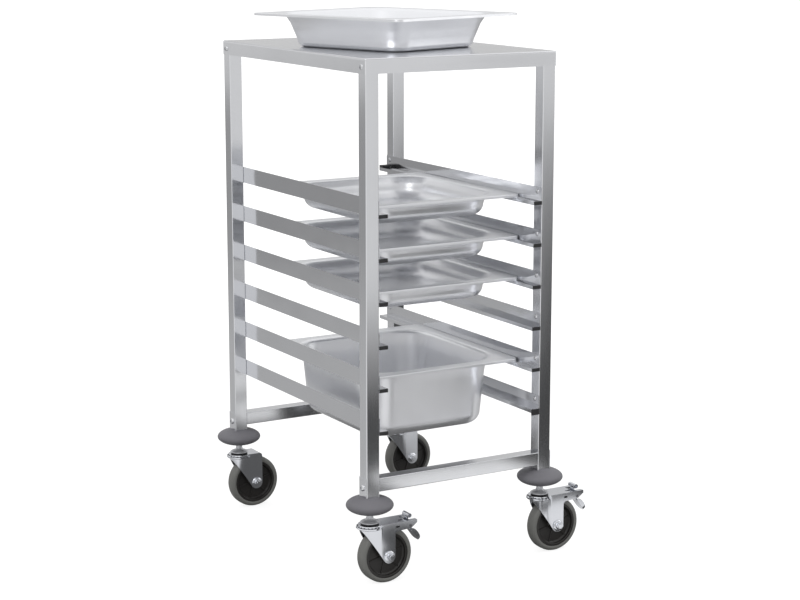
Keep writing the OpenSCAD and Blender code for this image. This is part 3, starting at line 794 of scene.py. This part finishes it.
def pan_profile(depth, lean, floor_r):
    """From the free edge of the lip over the rim and the shoulder, down the wall and across the floor."""
    edge = 0.9
    fall = SHOULDER_H + 2
    shoulder_r = BODY_R + SHOULDER_W
    wall_top = RIM_W + SHOULDER_W
    rows = [(0, -LIP_H, RIM_R), (0, -edge, RIM_R)]
    rows += [(inset, z, RIM_R) for inset, z in arc((edge, -edge), edge, 157.5, 90, 3)]
    rows += [(RIM_W * 0.45, 0, RIM_R + 12), (RIM_W - 2, 0, shoulder_r - 4)]
    for i in range(7):
        turn = radians(90 * i / 7)
        run = SHOULDER_W * sin(turn)
        rows.append((RIM_W + run, -fall * (1 - cos(turn)), shoulder_r - run))
    for i in range(1, 4):
        down = fall + (depth - floor_r - fall) * i / 4
        rows.append((wall_top + lean * down, -down, BODY_R - lean * down))
    foot = lean * (depth - floor_r)
    for i in range(9):
        turn = radians(90 * i / 8)
        run = foot + floor_r * (1 - cos(turn))
        rows.append((wall_top + run, -depth + floor_r * (1 - sin(turn)), BODY_R - run))
    flat = wall_top + foot + floor_r
    centre_r = 8
    rows.append((flat + 12, -depth, max(BODY_R - foot - floor_r - 6, centre_r)))
    rows.append((flat + 50, -depth, centre_r))
    return rows


def pan(name, node, body, at, turn, depth, lean, floor_r):
    """Gastronorm pan with the top of its rim at a place, turned about it by turn degrees."""
    bm = pressed(pan_profile(depth - SHEET, lean, floor_r), PAN_W, PAN_L, 12, SHEET)
    bmesh.ops.transform(bm, matrix=Matrix.Rotation(radians(turn), 4, "Z"), verts=bm.verts)
    bmesh.ops.translate(bm, verts=bm.verts, vec=Vector(at) * MM)
    place_piece(finish_mesh(name, bm, STEEL_PAN, 50), body, "pan_steel", node)


# Depth, lean of the walls and floor radius of each kind of pan
SHALLOW = (40, 0.35, 20)
DEEP = (125, 0.1, 22)
TABLE_PAN = (60, 0.42, 12)

for level, shape in ((1, SHALLOW), (2, SHALLOW), (3, SHALLOW), (5, DEEP)):
    at = (SHIFT, -PAN_FORWARD, LEDGE_TOPS[level - 1] + LIP_H)
    pan(f"gastronorm_pan_{level}", f"pan_level_{level}", f"pan_{level}", at, 0, *shape)
at = (SHIFT - TABLE_PAN_LEFT, -TABLE_PAN_FORWARD, TABLE_H + TABLE_PAN[0])
pan("gastronorm_pan_table", "pan_on_table", "table_pan", at, TABLE_PAN_TURN, *TABLE_PAN)


# Camera

YAW = 0.5248
PITCH = 0.1948
camera_data = bpy.data.cameras.new("camera")
camera_data.lens = 88.1
camera_data.sensor_width = 36
camera = bpy.data.objects.new("camera", camera_data)
camera.location = (-1.784, -3.095, 1.143)
view = Vector((sin(YAW) * cos(PITCH), cos(YAW) * cos(PITCH), -sin(PITCH)))
camera.rotation_mode = "QUATERNION"
camera.rotation_quaternion = view.to_track_quat("-Z", "Y")
scene.collection.objects.link(camera)
scene.camera = camera


# Floor and light

def ramp(tree, value, start, end, low=0.0, high=1.0):
    """Smooth step of a value from low at start to high at end."""
    return add(tree, "ShaderNodeMapRange",
               {"Value": value, "From Min": start, "From Max": end, "To Min": low, "To Max": high},
               interpolation_type="SMOOTHSTEP").outputs["Result"]


def pool(tree, place, centre, radii, soft):
    """1 inside a soft oval patch of the floor and 0 outside it; radii in metres, soft as a share of them."""
    moved = add(tree, "ShaderNodeVectorMath", {0: place, 1: centre}, operation="SUBTRACT").outputs["Vector"]
    scaled = add(tree, "ShaderNodeVectorMath", {0: moved, 1: (1 / radii[0], 1 / radii[1], 0)},
                 operation="MULTIPLY").outputs["Vector"]
    gap = add(tree, "ShaderNodeVectorMath", {0: scaled}, operation="LENGTH").outputs["Value"]
    return ramp(tree, gap, 1 + soft, 1 - soft)


def patch(tree, place, centre, sides, soft):
    """1 inside a soft rectangle of the floor and 0 outside it; sides are its half lengths in metres."""
    moved = add(tree, "ShaderNodeVectorMath", {0: place, 1: centre}, operation="SUBTRACT").outputs["Vector"]
    apart = add(tree, "ShaderNodeVectorMath", {0: moved}, operation="ABSOLUTE").outputs["Vector"]
    across = add(tree, "ShaderNodeSeparateXYZ", {"Vector": apart}).outputs
    parts = [ramp(tree, across[axis], side + soft, side - soft) for axis, side in zip("XY", sides)]
    return add(tree, "ShaderNodeMath", {0: parts[0], 1: parts[1]}, operation="MULTIPLY").outputs["Value"]


def toward(tree, place, way, low, high):
    """0 to 1 as a place on the floor lies more and more in one direction from the trolley."""
    unit = add(tree, "ShaderNodeVectorMath", {0: place}, operation="NORMALIZE").outputs["Vector"]
    part = add(tree, "ShaderNodeVectorMath", {0: unit, 1: way}, operation="DOT_PRODUCT").outputs["Value"]
    return ramp(tree, part, low, high)


def blend(tree, factor, a, b):
    return add(tree, "ShaderNodeMix", {"Factor": factor, "A": a, "B": b}).outputs["Result"]


# Painted reflections of the floor in polished metal, places and sizes in metres. Painted dark patches lie to
# the front right, under the trolley and before the front left caster, as (middle, radii, softness, level).
PAINTED_DARK_PATCHES = (((0.4, -0.95, 0), (0.44, 0.5), 0.25, 0.07),
         ((-0.03, 0, 0), (0.3, 0.36), 0.15, 0.12),
         ((-0.01, -0.47, 0), (0.07, 0.12), 0.2, 0.1),
         ((-0.07, -0.385, 0), (0.05, 0.08), 0.2, 0.1))
# Painted bright patches lie on or beside them, as (middle, half sides): the front crossbar, the fork of the
# front right caster and the foot of the rear left leg mirror them as painted highlights
PAINTED_BRIGHT_PATCHES = (((0.277, -0.745, 0), (0.164, 0.135)),
         ((0.32, -0.47, 0), (0.09, 0.078)),
         ((0.15, -0.43, 0), (0.07, 0.1)))


def painted_floor_reflection(tree, place, away):
    """Painted reflection: level of the floor as metal mirrors it, bright before the trolley, grey behind it,
    dark in a wedge to its front right, with the painted dark and bright patches on it."""
    behind = blend(tree, ramp(tree, away, 8.0, 11), ramp(tree, away, 1.3, 4.0, 0.5, 0.34), 0.66)
    tone = blend(tree, toward(tree, place, (-0.3, -0.95, 0), -0.35, 0.5), behind, 0.93)
    front = ramp(tree, away, 1.1, 3.2, 0.1, 0.76)
    tone = blend(tree, toward(tree, place, (0.4, -0.917, 0), 0.93, 0.98), tone, front)
    # Painted reflection: a narrow dark wedge to the front right, darkest near the trolley
    painted_wedge_level = ramp(tree, away, 1.8, 11, 0.06, 0.75)
    tone = blend(tree, toward(tree, place, (0.669, -0.743, 0), 0.974, 0.988), tone, painted_wedge_level)
    # Painted dark patches: painted shade in what the metal mirrors
    for centre, radii, soft, level in PAINTED_DARK_PATCHES:
        tone = blend(tree, pool(tree, place, centre, radii, soft), tone, level)
    # Painted bright patches: painted highlights in what the metal mirrors
    for centre, sides in PAINTED_BRIGHT_PATCHES:
        tone = blend(tree, patch(tree, place, centre, sides, 0.012), tone, 0.95)
    return tone


def floor():
    """Paper floor: white for the camera with the trolley's shadow on it, plain grey for other light, and for
    polished metal a painted reflection with painted dark and bright patches."""
    material, tree = new_material("pale_floor")
    ray = add(tree, "ShaderNodeLightPath").outputs
    place = add(tree, "ShaderNodeTexCoord").outputs["Object"]
    away = add(tree, "ShaderNodeVectorMath", {0: place}, operation="LENGTH").outputs["Value"]
    # Painted reflection: what glossy rays see of the floor, an emission of set tones
    painted_reflection = add(tree, "ShaderNodeEmission", {"Strength": painted_floor_reflection(tree, place, away)})
    plain = add(tree, "ShaderNodeBsdfDiffuse", {"Color": srgb("929292")})
    bright = ramp(tree, away, 0.7, 2.2, 0.84, 1.0)
    seen = add(tree, "ShaderNodeMath", {0: ray["Is Camera Ray"], 1: bright}, operation="MULTIPLY")
    glow = add(tree, "ShaderNodeEmission", {"Strength": seen.outputs["Value"]})
    lit = add(tree, "ShaderNodeAddShader", {0: plain.outputs["BSDF"], 1: glow.outputs["Emission"]})
    both = add(tree, "ShaderNodeMixShader", {0: ray["Is Glossy Ray"], 1: lit.outputs["Shader"],
                                             2: painted_reflection.outputs["Emission"]})
    add(tree, "ShaderNodeOutputMaterial", {"Surface": both.outputs["Shader"]})
    bm = bmesh.new()
    bmesh.ops.create_grid(bm, x_segments=1, y_segments=1, size=30)
    finish_mesh("floor", bm, material)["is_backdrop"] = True


def studio():
    """White background. Metal mirrors it white overhead, with a grey band of wall over the horizon."""
    world = bpy.data.worlds.new("studio")
    world.use_nodes = True
    tree = world.node_tree
    tree.nodes.clear()
    ray = add(tree, "ShaderNodeLightPath").outputs
    way = add(tree, "ShaderNodeTexCoord").outputs["Generated"]
    height = add(tree, "ShaderNodeSeparateXYZ", {"Vector": way}).outputs["Z"]
    wall = blend(tree, ramp(tree, height, 0.01, 0.05), 0.9, 0.6)
    wall = blend(tree, ramp(tree, height, 0.25, 0.6), wall, 1.0)
    bounced = blend(tree, ray["Is Glossy Ray"], 0.85, wall)
    level = blend(tree, ray["Is Camera Ray"], bounced, 1.0)
    sky = add(tree, "ShaderNodeBackground", {"Color": srgb("FFFFFF"), "Strength": level})
    add(tree, "ShaderNodeOutputWorld", {"Surface": sky.outputs["Background"]})
    scene.world = world


def softbox(name, at, aim, size, power, mirrored=True):
    """Large soft lamp; one that isn't mirrored lights the object but leaves no bright patch on flat steel."""
    lamp = bpy.data.lights.new(name, "AREA")
    lamp.shape = "RECTANGLE"
    lamp.size, lamp.size_y = size
    lamp.energy = power
    made = bpy.data.objects.new(name, lamp)
    made.location = at
    made.rotation_mode = "QUATERNION"
    made.rotation_quaternion = (Vector(aim) - Vector(at)).to_track_quat("-Z", "Y")
    made.visible_glossy = mirrored
    scene.collection.objects.link(made)


floor()
studio()
softbox("key_softbox", (-2.6, -2.2, 2.6), (0, 0, 0.5), (1.8, 1.8), 24)
softbox("fill_softbox", (2.8, -1.6, 1.6), (0, 0, 0.4), (1.6, 2.2), 8)
softbox("top_softbox", (0.4, 0.6, 3.2), (0, 0, 0.4), (2.4, 2.4), 14, mirrored=False)

scene.view_settings.view_transform = "Standard"

low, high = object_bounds()
